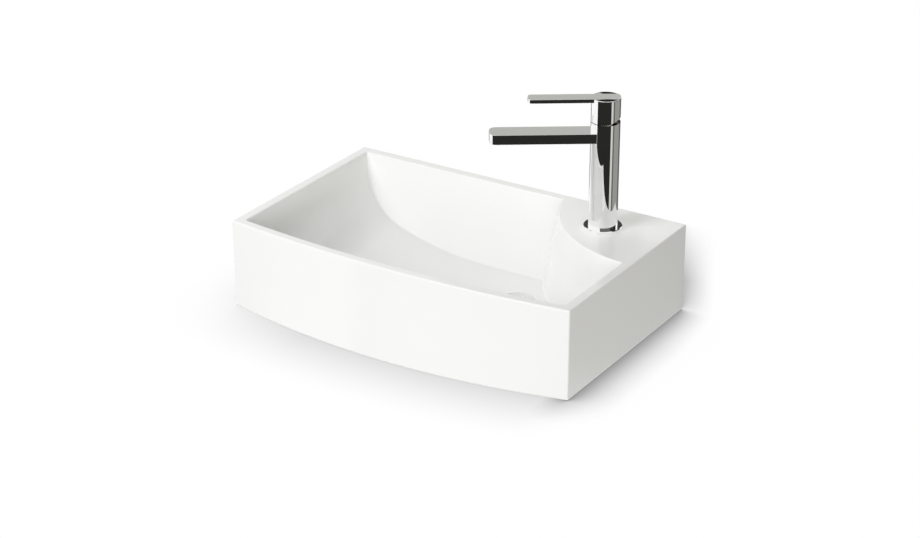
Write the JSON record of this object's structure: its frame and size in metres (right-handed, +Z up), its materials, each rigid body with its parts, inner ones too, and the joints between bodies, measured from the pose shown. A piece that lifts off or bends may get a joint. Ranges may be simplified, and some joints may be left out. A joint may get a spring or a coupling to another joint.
{
  "type": "wall-hung washbasin",
  "caption": "White wall-hung washbasin with a bowed front, a ramp-shaped bowl, an open drain and a chrome lever mixer tap on a rounded corner deck.",
  "frame": {"origin": "on the back plane that meets the wall, midway between the two wall-bolt holes", "axes": "+X to the right along the wall, +Y into the wall, +Z up"},
  "size_m": [0.5, 0.3331, 0.3625],
  "materials": {
    "basin_white": "smooth white, satin gloss",
    "chrome": "polished",
    "brass": "turned",
    "steel": "plain",
    "black_rubber": "matte",
    "white_plastic": "matte",
    "grey_plastic": "matte",
    "disc_ceramic": "ground"
  },
  "bodies": {
    "basin": {"basin_body": "basin_white", "wall_fixing_bushes": "white_plastic", "waste_body": "chrome", "waste_top_seal": "black_rubber", "waste_grid": "chrome", "waste_grid_screw": "steel", "waste_lower_seal": "black_rubber", "waste_slip_washer": "white_plastic", "waste_backnut": "brass", "tap_base_ring": "chrome", "tap_base_seal": "black_rubber", "tap_body": "chrome", "mounting_stud": "steel", "horseshoe_gasket": "black_rubber", "horseshoe_washer": "steel", "stud_nut": "brass", "tap_spout": "chrome", "aerator_seal": "black_rubber", "aerator_insert": "grey_plastic", "aerator_screen": "steel", "cartridge_port_seals": "black_rubber", "cartridge_housing": "grey_plastic", "fixed_ceramic_disc": "disc_ceramic", "cartridge_nut": "brass"},
    "turret": {"cartridge_rotor": "white_plastic", "pivot_pin": "steel"},
    "lever": {"lever_stem": "brass", "lever_handle": "chrome", "lever_grub_screw": "steel"},
    "disc": {"moving_ceramic_disc": "disc_ceramic", "disc_carrier": "white_plastic"}
  },
  "joints": [
    {"name": "lever_turn", "type": "hinge", "parent": "basin", "child": "turret", "pos_m": [0.16366, -0.06459, 0.2341], "axis": [0, 0, 1], "range_deg": [-45, 45]},
    {"name": "lever_lift", "type": "hinge", "parent": "turret", "child": "lever", "pos_m": [0.16366, -0.06459, 0.2341], "axis": [-0.5592, 0.829, 0], "range_deg": [0, 18]},
    {"name": "disc_slide", "type": "slide", "parent": "turret", "child": "disc", "axis": [-0.829, -0.5592, 0], "range_m": [0, 0.0026]}
  ],
  "couplings": [
    {"joint": "disc_slide", "follows": "lever_lift", "m_per_rad": 0.008}
  ]
}
